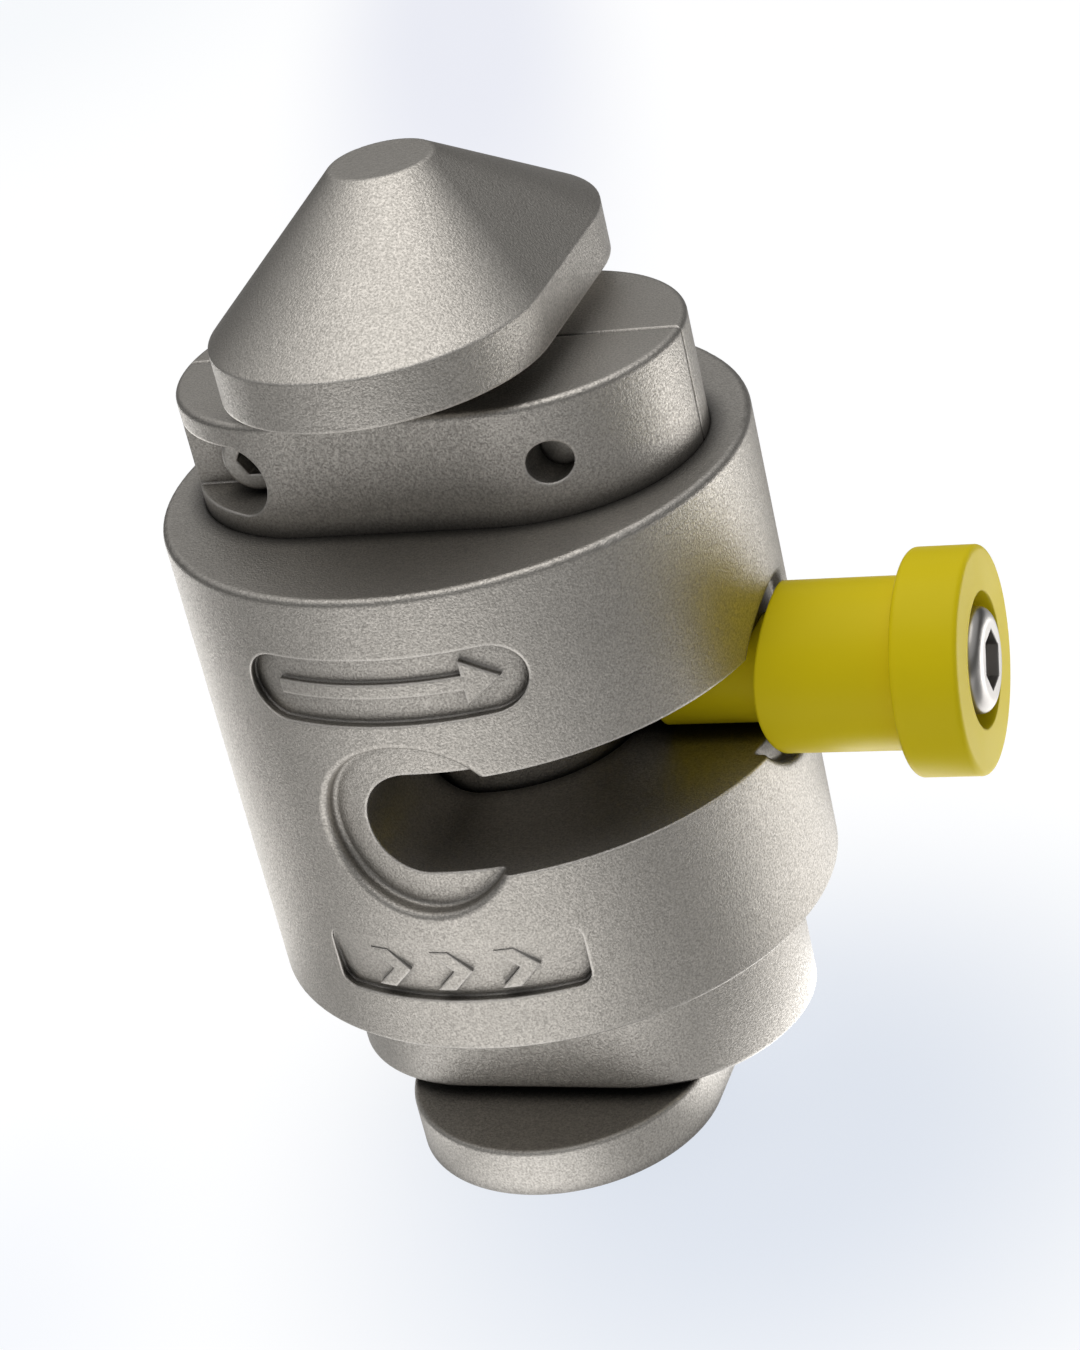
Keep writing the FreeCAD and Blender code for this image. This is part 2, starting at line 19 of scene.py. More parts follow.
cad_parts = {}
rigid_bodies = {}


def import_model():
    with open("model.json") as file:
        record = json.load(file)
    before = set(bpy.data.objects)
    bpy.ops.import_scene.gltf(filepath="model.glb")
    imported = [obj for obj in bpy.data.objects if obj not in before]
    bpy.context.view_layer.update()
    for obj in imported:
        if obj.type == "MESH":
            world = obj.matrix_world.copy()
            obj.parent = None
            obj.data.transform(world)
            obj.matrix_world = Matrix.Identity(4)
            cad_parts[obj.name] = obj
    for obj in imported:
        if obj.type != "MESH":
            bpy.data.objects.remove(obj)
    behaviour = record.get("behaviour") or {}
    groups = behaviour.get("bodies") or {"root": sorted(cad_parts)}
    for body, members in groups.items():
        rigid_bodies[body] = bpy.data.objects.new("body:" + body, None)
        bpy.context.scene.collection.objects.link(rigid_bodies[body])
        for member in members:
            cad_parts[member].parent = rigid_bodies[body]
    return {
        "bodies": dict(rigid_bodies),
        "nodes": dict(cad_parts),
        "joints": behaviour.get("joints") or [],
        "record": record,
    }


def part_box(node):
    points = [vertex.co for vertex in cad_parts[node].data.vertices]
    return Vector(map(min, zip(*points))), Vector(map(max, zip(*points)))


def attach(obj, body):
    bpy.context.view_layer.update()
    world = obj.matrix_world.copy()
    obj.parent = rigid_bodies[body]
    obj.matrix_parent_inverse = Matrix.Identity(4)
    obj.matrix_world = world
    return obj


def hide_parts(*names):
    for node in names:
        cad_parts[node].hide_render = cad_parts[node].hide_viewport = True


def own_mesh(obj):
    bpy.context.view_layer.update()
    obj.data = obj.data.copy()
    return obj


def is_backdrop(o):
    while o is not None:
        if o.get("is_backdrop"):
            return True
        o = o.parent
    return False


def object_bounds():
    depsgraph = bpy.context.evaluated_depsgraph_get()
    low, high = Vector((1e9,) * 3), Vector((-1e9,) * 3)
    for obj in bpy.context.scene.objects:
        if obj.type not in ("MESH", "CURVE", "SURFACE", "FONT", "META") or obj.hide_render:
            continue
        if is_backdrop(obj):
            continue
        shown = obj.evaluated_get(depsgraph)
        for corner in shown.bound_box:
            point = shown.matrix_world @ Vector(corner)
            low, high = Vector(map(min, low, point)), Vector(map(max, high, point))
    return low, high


LOG = logging.getLogger("twistlock")

Colour = tuple[float, float, float]
Point = tuple[float, float, float]
Span = tuple[float, float]
SHAFT_BODY = "twist_shaft"

# Where a Mix node has its two colours, its mixed colour and its two numbers.
MIX_FIRST, MIX_SECOND, MIX_RESULT = 6, 7, 2
BLEND_FIRST, BLEND_SECOND = 2, 3

WARM_WHITE: Colour = (1.0, 0.985, 0.96)


class Slot(Enum):
    """The record's material slots of the pieces that stand for nodes."""

    SPRING = "spring_steel"
    SCREW = "screw_steel"


class Effect(Enum):
    """Shader groups that several finishes share."""

    GRAIN = "cast_grain"
    EDGE = "edge_wear_and_highlight"
    MOTTLE = "mottle"
    CORNER_SHADE = "corner_shade"
    GAP_SHADE = "gap_shade"


def rgba(colour: Colour) -> tuple[float, float, float, float]:
    """Gives a colour its alpha of 1."""
    return (*colour, 1.0)


class GroupMaker:
    """Builds one shader node group with named sockets."""

    def __init__(self, name: str) -> None:
        """Starts an empty group with its two ends.

        Args:
            name: the group's name.
        """
        self.tree = bpy.data.node_groups.new(name, "ShaderNodeTree")
        self.inputs = self.tree.nodes.new("NodeGroupInput")
        self.outputs = self.tree.nodes.new("NodeGroupOutput")

    def add_input(self, name: str, default: float) -> None:
        """Adds a number input with its default."""
        socket = self.tree.interface.new_socket(name, in_out="INPUT", socket_type="NodeSocketFloat")
        socket.default_value = default

    def add_output(self, name: str, kind: str = "NodeSocketFloat") -> None:
        """Adds an output of one kind."""
        self.tree.interface.new_socket(name, in_out="OUTPUT", socket_type=kind)

    def node(self, kind: str) -> bpy.types.Node:
        """Adds a node of one kind."""
        return self.tree.nodes.new(kind)

    def link(self, start: bpy.types.NodeSocket, end: bpy.types.NodeSocket) -> None:
        """Joins an output to an input."""
        self.tree.links.new(start, end)

    def math(self, operation: str, first: object, second: object,
             clamp: bool = False) -> bpy.types.NodeSocket:
        """Adds a Math node.

        Args:
            operation: the Math node's operation.
            first: a socket or a number.
            second: a socket or a number.
            clamp: keeps the result between 0 and 1.

        Returns:
            The node's output.
        """
        node = self.node("ShaderNodeMath")
        node.operation = operation
        node.use_clamp = clamp
        for index, value in enumerate((first, second)):
            if isinstance(value, bpy.types.NodeSocket):
                self.link(value, node.inputs[index])
            else:
                node.inputs[index].default_value = value
        return node.outputs[0]


class EffectLibrary:
    """Makes each shared shader group once and hands it out."""

    fine_detail = 2.0
    fine_roughness = 0.62
    coarse_detail = 3.0
    coarse_share = 0.33
    tone_span: Span = (0.33, 0.67)
    edge_samples = 6
    edge_span: Span = (0.995, 0.90)
    sky_samples = 4
    open_sky = 0.86
    mottle_detail = 4.0
    mottle_middle = 0.5

    def __init__(self) -> None:
        """Starts with no group made."""
        self._made: dict[Effect, bpy.types.NodeTree] = {}

    def get(self, effect: Effect) -> bpy.types.NodeTree:
        """Finds the group for an effect, building it on first use.

        Args:
            effect: which group.

        Returns:
            The group.
        """
        if effect not in self._made:
            builders = {
                Effect.GRAIN: self._grain,
                Effect.EDGE: self._edge,
                Effect.MOTTLE: self._mottle,
                Effect.CORNER_SHADE: self._corner_shade,
                Effect.GAP_SHADE: self._gap_shade,
            }
            self._made[effect] = builders[effect]()
            LOG.info("shader group %s", effect.value)
        return self._made[effect]

    def _grain(self) -> bpy.types.NodeTree:
        """Fine blasted grain: a height for bump and a tone that follows it.

        Returns:
            The group.
        """
        maker = GroupMaker(Effect.GRAIN.value)
        maker.add_input("Scale", 2600.0)
        maker.add_input("Coarse", 0.35)
        maker.add_output("Height")
        maker.add_output("Tone")
        place = maker.node("ShaderNodeTexCoord")
        fine = maker.node("ShaderNodeTexNoise")
        fine.inputs["Detail"].default_value = self.fine_detail
        fine.inputs["Roughness"].default_value = self.fine_roughness
        maker.link(place.outputs["Object"], fine.inputs["Vector"])
        maker.link(maker.inputs.outputs["Scale"], fine.inputs["Scale"])
        coarse = maker.node("ShaderNodeTexNoise")
        coarse.inputs["Detail"].default_value = self.coarse_detail
        coarse_scale = maker.math("MULTIPLY", maker.inputs.outputs["Scale"], self.coarse_share)
        maker.link(place.outputs["Object"], coarse.inputs["Vector"])
        maker.link(coarse_scale, coarse.inputs["Scale"])
        part = maker.math("MULTIPLY", coarse.outputs[0], maker.inputs.outputs["Coarse"])
        height = maker.math("ADD", fine.outputs[0], part)
        maker.link(height, maker.outputs.inputs["Height"])
        sharp = maker.node("ShaderNodeMapRange")
        sharp.inputs["From Min"].default_value = self.tone_span[0]
        sharp.inputs["From Max"].default_value = self.tone_span[1]
        maker.link(fine.outputs[0], sharp.inputs["Value"])
        maker.link(sharp.outputs[0], maker.outputs.inputs["Tone"])
        return maker.tree

    def _edge(self) -> bpy.types.NodeTree:
        """Softened edges: a rounded normal and a mask that is 1 on outer edges.

        Returns:
            The group.
        """
        maker = GroupMaker(Effect.EDGE.value)
        maker.add_input("Radius", 0.0006)
        maker.add_output("Mask")
        maker.add_output("Normal", "NodeSocketVector")
        bevel = maker.node("ShaderNodeBevel")
        bevel.samples = self.edge_samples
        maker.link(maker.inputs.outputs["Radius"], bevel.inputs["Radius"])
        shape = maker.node("ShaderNodeNewGeometry")
        turn = maker.node("ShaderNodeVectorMath")
        turn.operation = "DOT_PRODUCT"
        maker.link(bevel.outputs[0], turn.inputs[0])
        maker.link(shape.outputs["Normal"], turn.inputs[1])
        mask = maker.node("ShaderNodeMapRange")
        mask.inputs["From Min"].default_value = self.edge_span[0]
        mask.inputs["From Max"].default_value = self.edge_span[1]
        maker.link(turn.outputs["Value"], mask.inputs["Value"])
        maker.link(mask.outputs[0], maker.outputs.inputs["Mask"])
        maker.link(bevel.outputs[0], maker.outputs.inputs["Normal"])
        return maker.tree

    def _corner_shade(self) -> bpy.types.NodeTree:
        """Painted shade in inner corners: a mask that is 1 where little light gets in.

        Returns:
            The group.
        """
        maker = GroupMaker(Effect.CORNER_SHADE.value)
        maker.add_input("Reach", 0.003)
        maker.add_input("Gain", 1.5)
        maker.add_output("Mask")
        shut = maker.math("SUBTRACT", self.open_sky, self._sky(maker, own=False))
        mask = maker.math("MULTIPLY", shut, maker.inputs.outputs["Gain"], clamp=True)
        maker.link(mask, maker.outputs.inputs["Mask"])
        return maker.tree

    def _gap_shade(self) -> bpy.types.NodeTree:
        """Painted shade in the narrow spaces between one piece and its neighbours.

        Returns:
            The group.
        """
        maker = GroupMaker(Effect.GAP_SHADE.value)
        maker.add_input("Reach", 0.0045)
        maker.add_input("Gain", 1.9)
        maker.add_output("Mask")
        shut = maker.math("SUBTRACT", self._sky(maker, own=True), self._sky(maker, own=False))
        mask = maker.math("MULTIPLY", shut, maker.inputs.outputs["Gain"], clamp=True)
        maker.link(mask, maker.outputs.inputs["Mask"])
        return maker.tree

    def _sky(self, maker: GroupMaker, own: bool) -> bpy.types.NodeSocket:
        """Measures how open the space over a point is.

        Args:
            maker: the group that is being built, with its Reach input.
            own: looks at the point's own piece alone.

        Returns:
            A number from 0, shut, to 1, open.
        """
        sky = maker.node("ShaderNodeAmbientOcclusion")
        sky.samples = self.sky_samples
        sky.only_local = own
        maker.link(maker.inputs.outputs["Reach"], sky.inputs["Distance"])
        return sky.outputs["AO"]

    def _mottle(self) -> bpy.types.NodeTree:
        """Slow variation over a surface, for stain, handling and flow marks.

        Returns:
            The group.
        """
        maker = GroupMaker(Effect.MOTTLE.value)
        maker.add_input("Scale", 40.0)
        maker.add_input("Spread", 0.25)
        maker.add_output("Mask")
        place = maker.node("ShaderNodeTexCoord")
        noise = maker.node("ShaderNodeTexNoise")
        noise.inputs["Detail"].default_value = self.mottle_detail
        maker.link(place.outputs["Object"], noise.inputs["Vector"])
        maker.link(maker.inputs.outputs["Scale"], noise.inputs["Scale"])
        low = maker.math("SUBTRACT", self.mottle_middle, maker.inputs.outputs["Spread"])
        high = maker.math("ADD", self.mottle_middle, maker.inputs.outputs["Spread"])
        spread = maker.node("ShaderNodeMapRange")
        maker.link(noise.outputs[0], spread.inputs["Value"])
        maker.link(low, spread.inputs["From Min"])
        maker.link(high, spread.inputs["From Max"])
        maker.link(spread.outputs[0], maker.outputs.inputs["Mask"])
        return maker.tree


class MaterialMaker:
    """A material's node tree with the few joins that every finish makes."""

    def __init__(self, name: str, effects: EffectLibrary) -> None:
        """Starts a material with its Principled BSDF.

        Args:
            name: the material's name.
            effects: the shared shader groups.
        """
        self.material = bpy.data.materials.new(name)
        self.material.use_nodes = True
        self.tree = self.material.node_tree
        self.effects = effects
        self.shader = self.tree.nodes["Principled BSDF"]

    def effect(self, effect: Effect, **values: float) -> bpy.types.Node:
        """Places a shared group with its own values.

        Args:
            effect: which group.
            values: numbers for its named inputs.

        Returns:
            The group node.
        """
        node = self.tree.nodes.new("ShaderNodeGroup")
        node.node_tree = self.effects.get(effect)
        for name, value in values.items():
            node.inputs[name].default_value = value
        return node

    def mix(self, mask: bpy.types.NodeSocket, first: object, second: object,
            amount: float = 1.0) -> bpy.types.NodeSocket:
        """Mixes two colours by a mask.

        Args:
            mask: 0 gives the first colour and 1 the second.
            first: a colour or a colour socket.
            second: a colour or a colour socket.
            amount: how far the second colour goes in at most.

        Returns:
            The mixed colour.
        """
        node = self.tree.nodes.new("ShaderNodeMix")
        node.data_type = "RGBA"
        scaled = self.tree.nodes.new("ShaderNodeMath")
        scaled.operation = "MULTIPLY"
        scaled.use_clamp = True
        self.tree.links.new(mask, scaled.inputs[0])
        scaled.inputs[1].default_value = amount
        self.tree.links.new(scaled.outputs[0], node.inputs[0])
        for index, value in ((MIX_FIRST, first), (MIX_SECOND, second)):
            if isinstance(value, bpy.types.NodeSocket):
                self.tree.links.new(value, node.inputs[index])
            else:
                node.inputs[index].default_value = rgba(value)
        return node.outputs[MIX_RESULT]

    def colour(self, socket: bpy.types.NodeSocket) -> None:
        """Feeds the base colour."""
        self.tree.links.new(socket, self.shader.inputs["Base Color"])

    def roughness(self, mask: bpy.types.NodeSocket, middle: float, spread: Span) -> None:
        """Feeds the roughness.

        Args:
            mask: 0 gives the smoothest surface and 1 the roughest.
            middle: the plain roughness.
            spread: how far it goes down and up from there.
        """
        node = self.tree.nodes.new("ShaderNodeMapRange")
        node.inputs["To Min"].default_value = middle - spread[0]
        node.inputs["To Max"].default_value = middle + spread[1]
        self.tree.links.new(mask, node.inputs["Value"])
        self.tree.links.new(node.outputs[0], self.shader.inputs["Roughness"])

    def bump(self, height: bpy.types.NodeSocket, depth: float, normal: bpy.types.NodeSocket) -> None:
        """Adds bump over a softened normal and feeds the shader.

        Args:
            height: the height from 0 to about 1.
            depth: how deep a height of 1 is.
            normal: the softened normal.
        """
        node = self.tree.nodes.new("ShaderNodeBump")
        node.inputs["Strength"].default_value = 1.0
        node.inputs["Distance"].default_value = depth
        self.tree.links.new(height, node.inputs["Height"])
        self.tree.links.new(normal, node.inputs["Normal"])
        self.tree.links.new(node.outputs[0], self.shader.inputs["Normal"])


@dataclass(frozen=True)
class BlastedSteel:
    """Warm grey cast steel with a fine blasted grain, worn edges lightened with a painted edge highlight,
    and painted shade in corners and between pieces.
    """

    name: str
    base: Colour = (0.56, 0.532, 0.493)
    dark: Colour = (0.30, 0.285, 0.262)
    # Pale steel of worn edges, also standing in for a painted edge highlight.
    rubbed_highlight: Colour = (0.74, 0.71, 0.67)
    # Colour of the painted shade in inner corners and between pieces.
    painted_shade: Colour = (0.09, 0.085, 0.08)
    roughness: float = 0.44
    roughness_spread: Span = (0.05, 0.07)
    grain_scale: float = 2400.0
    grain_depth: float = 0.00011
    grain_tone: float = 0.85
    mottle_scale: float = 55.0
    mottle_spread: float = 0.2
    stain: float = 0.22
    wear_and_highlight: float = 0.8
    edge_radius: float = 0.0008
    # When true, painted shade also darkens the colour between pieces.
    shade_gaps: bool = False

    def make(self, effects: EffectLibrary) -> bpy.types.Material:
        """Builds the material.

        Args:
            effects: the shared shader groups.

        Returns:
            The material.
        """
        maker = MaterialMaker(self.name, effects)
        maker.shader.inputs["Metallic"].default_value = 1.0
        grain = maker.effect(Effect.GRAIN, Scale=self.grain_scale)
        mottle = maker.effect(Effect.MOTTLE, Scale=self.mottle_scale, Spread=self.mottle_spread)
        edge = maker.effect(Effect.EDGE, Radius=self.edge_radius)
        colour = maker.mix(mottle.outputs["Mask"], self.base, self.dark, self.stain)
        colour = maker.mix(grain.outputs["Tone"], colour, self.dark, self.grain_tone)
        # Worn edges with a painted edge highlight: outer edges lighten towards the pale steel.
        colour = maker.mix(edge.outputs["Mask"], colour, self.rubbed_highlight, self.wear_and_highlight)
        # Painted shade: the colour darkens towards a near-black in inner corners where little light gets
        # in.
        corner_shade = maker.effect(Effect.CORNER_SHADE)
        colour = maker.mix(corner_shade.outputs["Mask"], colour, self.painted_shade)
        # Painted shade between pieces: the colour darkens where a neighbouring piece closes in.
        if self.shade_gaps:
            gap_shade_node = maker.effect(Effect.GAP_SHADE)
            colour = maker.mix(gap_shade_node.outputs["Mask"], colour, self.painted_shade)
        maker.colour(colour)
        maker.roughness(grain.outputs["Tone"], self.roughness, self.roughness_spread)
        maker.bump(grain.outputs["Height"], self.grain_depth, edge.outputs["Normal"])
        return maker.material


@dataclass(frozen=True)
class SmoothFinish:
    """A smooth finish: two tones in a slow mottle, a faint grain and softened edges."""

    name: str
    base: Colour
    worn: Colour
    roughness: float
    roughness_spread: Span
    grain_scale: float
    grain_coarse: float
    grain_depth: float
    mottle_scale: float
    mottle_spread: float
    mottle_amount: float
    edge_radius: float
    metallic: float = 1.0
    specular: float = 0.5

    def make(self, effects: EffectLibrary) -> bpy.types.Material:
        """Builds the material.

        Args:
            effects: the shared shader groups.

        Returns:
            The material.
        """
        maker = MaterialMaker(self.name, effects)
        maker.shader.inputs["Metallic"].default_value = self.metallic
        maker.shader.inputs["Specular IOR Level"].default_value = self.specular
        grain = maker.effect(Effect.GRAIN, Scale=self.grain_scale, Coarse=self.grain_coarse)
        mottle = maker.effect(Effect.MOTTLE, Scale=self.mottle_scale, Spread=self.mottle_spread)
        edge = maker.effect(Effect.EDGE, Radius=self.edge_radius)
        maker.colour(maker.mix(mottle.outputs["Mask"], self.base, self.worn, self.mottle_amount))
        maker.roughness(mottle.outputs["Mask"], self.roughness, self.roughness_spread)
        maker.bump(grain.outputs["Height"], self.grain_depth, edge.outputs["Normal"])
        return maker.material


@dataclass(frozen=True)
class BrightSteel(SmoothFinish):
    """Polished steel of the handle's screw, washers and tube."""

    base: Colour = (0.78, 0.76, 0.74)
    worn: Colour = (0.55, 0.54, 0.53)
    roughness: float = 0.2
    roughness_spread: Span = (0.04, 0.08)
    grain_scale: float = 3500.0
    grain_coarse: float = 0.2
    grain_depth: float = 0.000006
    mottle_scale: float = 160.0
    mottle_spread: float = 0.3
    mottle_amount: float = 0.35
    edge_radius: float = 0.0004


@dataclass(frozen=True)
class SatinPlastic(SmoothFinish):
    """Yellow moulded plastic with a soft sheen and a faint moulding texture."""

    base: Colour = (0.84, 0.675, 0.006)
    worn: Colour = (0.74, 0.59, 0.012)
    roughness: float = 0.42
    roughness_spread: Span = (0.05, 0.06)
    grain_scale: float = 1500.0
    grain_coarse: float = 0.5
    grain_depth: float = 0.000012
    mottle_scale: float = 60.0
    mottle_spread: float = 0.3
    mottle_amount: float = 0.3
    edge_radius: float = 0.0007
    metallic: float = 0.0
    specular: float = 0.12


@dataclass(frozen=True)
class BearingBronze(SmoothFinish):
    """Turned bronze of the bushes and thrust washers."""

    base: Colour = (0.62, 0.43, 0.22)
    worn: Colour = (0.38, 0.25, 0.13)
    roughness: float = 0.32
    roughness_spread: Span = (0.05, 0.1)
    grain_scale: float = 2800.0
    grain_coarse: float = 0.3
    grain_depth: float = 0.000008
    mottle_scale: float = 80.0
    mottle_spread: float = 0.25
    mottle_amount: float = 0.45
    edge_radius: float = 0.0003


def dress(frame: dict, nodes: tuple[str, ...], material: bpy.types.Material) -> None:
    """Gives CAD nodes a material in all their slots.

    Args:
        nodes: the nodes' names.
        material: the finish.
    """
    for name in nodes:
        node = frame["nodes"][name]
        if not node.material_slots:
            node.data.materials.append(material)
        for slot in node.material_slots:
            slot.material = material
        LOG.info("node %s wears %s", name, material.name)


def stand_in(frame: dict, node: str, name: str,
             material: bpy.types.Material) -> bpy.types.Object:
    """Copies a node of the shaft into a piece of its own, which stands for that node.

    Args:
        node: the node's name.
        name: the new piece's name.
        material: the finish.

    Returns:
        The new piece.
    """
    piece = bpy.data.objects.new(name, frame["nodes"][node].data.copy())
    piece.data.materials.clear()
    piece.data.materials.append(material)
    bpy.context.scene.collection.objects.link(piece)
    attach(piece, SHAFT_BODY)
    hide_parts(node)
    LOG.info("piece %s stands for %s", name, node)
    return piece


@dataclass(frozen=True)
class CoilSpring:
    """The handle's spring, which in the real handle shortens as the sleeve is pulled; the coil here keeps
    its shape.
    """

    node: str = "handle_spring"
    joint: str = "sleeve_pull"
    pull: float = 0.004

    def build(self, frame: dict, material: bpy.types.Material) -> None:
        """Stands a coil of the same shape in the node's place.

        Args:
            material: the finish.
        """
        low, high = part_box(self.node)
        coil = stand_in(frame, self.node, "sprung_coil", material)
        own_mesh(coil)


@dataclass(frozen=True)
class HandleScrew:
    """The cap screw at the handle's end, as far round and as low as the photograph has it."""

    node: str = "handle_screw"
    turn: float = 30.0
    head_height: float = 0.0094
    lower: float = 0.00095
    broader: float = 1.03

    def build(self, frame: dict, material: bpy.types.Material) -> None:
        """Stands a screw with a lower, slightly broader head in the node's place.

        Args:
            material: the finish.
        """
        low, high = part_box(self.node)
        screw = stand_in(frame, self.node, "handle_cap_screw", material)
        centre = Vector((0.0, 0.0, (low[2] + high[2]) / 2.0))
        spin = Matrix.Rotation(math.radians(self.turn), 4, "X")
        screw.data.transform(Matrix.Translation(centre) @ spin @ Matrix.Translation(-centre))
        seat = high[0] - self.head_height
        flatter = 1.0 - self.lower / self.head_height
        for point in screw.data.vertices:
            if point.co.x > seat:
                point.co.x = seat + (point.co.x - seat) * flatter
                point.co.y *= self.broader
                point.co.z = centre.z + (point.co.z - centre.z) * self.broader


@dataclass
class CastBody:
    """The round body, its split collar and the pieces fixed to them."""

    steel: BlastedSteel
    screw: BlastedSteel
    bright: BrightSteel
    bronze: BearingBronze

    def build(self, frame: dict, effects: EffectLibrary) -> None:
        """Dresses the body's nodes.

        Args:
            effects: the shared shader groups.
        """
        steel = self.steel.make(effects)
        dress(frame, ("housing", "collar_half_front", "collar_half_rear"), steel)
        dress(frame, ("collar_screws",), self.screw.make(effects))
        dress(frame, ("collar_dowels",), self.bright.make(effects))
        dress(frame, ("upper_bush", "lower_bush", "upper_thrust_washer", "lower_thrust_washer"),
              self.bronze.make(effects))


@dataclass
class TwistShaft:
    """The spindle with its cone head, the lower head and the handle's core."""

    steel: BlastedSteel
    bright: BrightSteel
    screw: BrightSteel
    spring: CoilSpring
    cap_screw: HandleScrew

    def build(self, frame: dict, effects: EffectLibrary) -> None:
        """Dresses the shaft's nodes.

        Args:
            effects: the shared shader groups.
        """
        dress(frame, ("spindle", "lower_head"), self.steel.make(effects))
        bright = self.bright.make(effects)
        dress(frame, ("retaining_disc", "retaining_screw", "stem_tube", "stop_washer", "lock_washer",
                      "handle_spring"), bright)
        self.spring.build(frame, bright)
        satin = self.screw.make(effects)
        dress(frame, ("handle_screw",), satin)
        self.cap_screw.build(frame, satin)


@dataclass
class HandleGrip:
    """The yellow sleeve and its bush."""

    plastic: SatinPlastic
    bronze: BearingBronze

    def build(self, frame: dict, effects: EffectLibrary) -> None:
        """Dresses the grip's nodes."""
        dress(frame, ("handle_sleeve",), self.plastic.make(effects))
        dress(frame, ("sleeve_bush",), self.bronze.make(effects))


@dataclass(frozen=True)
class TopPanel:
    """A wide soft panel straight overhead."""

    name: str
    height: float
    width: float
    radiance: float
    colour: Colour = WARM_WHITE

    def make(self) -> None:
        """Adds the panel as a round area lamp."""
        data = bpy.data.lights.new(self.name, "AREA")
        data.shape = "DISK"
        data.size = self.width
        data.energy = self.radiance * math.pi * math.pi * (self.width / 2.0) ** 2
        data.color = self.colour
        panel = bpy.data.objects.new(self.name, data)
        panel.location = (0.0, 0.0, self.height)
        panel.visible_camera = False
        bpy.context.scene.collection.objects.link(panel)
        LOG.info("panel %s", self.name)


@dataclass(frozen=True)
class FloorCard:
    """A bright card lying on the floor, which lights the walls from below and shows in them."""

    name: str
    azimuth: float
    near: float
    far: float
    width: float
    radiance: float
    clear_of_floor: float = 0.001
    colour: Colour = WARM_WHITE

    def make(self) -> None:
        """Adds the card as an upward area lamp that the camera does not see."""
        turn = math.radians(self.azimuth)
        middle = (self.near + self.far) / 2.0
        data = bpy.data.lights.new(self.name, "AREA")
        data.shape = "RECTANGLE"
        data.size = self.width
        data.size_y = self.far - self.near
        data.energy = self.radiance * math.pi * data.size * data.size_y
        data.color = self.colour
        card = bpy.data.objects.new(self.name, data)
        card.location = (middle * math.sin(turn), -middle * math.cos(turn), self.clear_of_floor)
        card.rotation_euler = (math.pi, 0.0, turn)
        card.visible_camera = False
        bpy.context.scene.collection.objects.link(card)
        LOG.info("card %s", self.name)


@dataclass(frozen=True)
class FloorPatch:
    """A soft spot of painted tone on the floor: painted shade where darker than what is under it, painted
    light where brighter.
    """

    centre: Span
    radii: Span
    turn: float
    tint: Colour
    full_at: float = 0.85

    def paint(self, tree: bpy.types.NodeTree, under: bpy.types.NodeSocket) -> bpy.types.NodeSocket:
        """Lays the tint over a colour.

        Args:
            tree: the floor's node tree.
            under: the colour so far.

        Returns:
            The colour with the patch.
        """
        place = tree.nodes.new("ShaderNodeTexCoord")
        shift = tree.nodes.new("ShaderNodeMapping")
        shift.vector_type = "TEXTURE"
        shift.inputs["Location"].default_value = (*self.centre, 0.0)
        shift.inputs["Rotation"].default_value = (0.0, 0.0, math.radians(self.turn))
        shift.inputs["Scale"].default_value = (*self.radii, 1.0)
        tree.links.new(place.outputs["Object"], shift.inputs["Vector"])
        ball = tree.nodes.new("ShaderNodeTexGradient")
        ball.gradient_type = "SPHERICAL"
        tree.links.new(shift.outputs[0], ball.inputs["Vector"])
        soft = tree.nodes.new("ShaderNodeMapRange")
        soft.interpolation_type = "SMOOTHSTEP"
        soft.inputs["From Max"].default_value = self.full_at
        tree.links.new(ball.outputs[1], soft.inputs["Value"])
        over = tree.nodes.new("ShaderNodeMix")
        over.data_type = "RGBA"
        tree.links.new(soft.outputs[0], over.inputs[0])
        tree.links.new(under, over.inputs[MIX_FIRST])
        over.inputs[MIX_SECOND].default_value = rgba(self.tint)
        return over.outputs[MIX_RESULT]


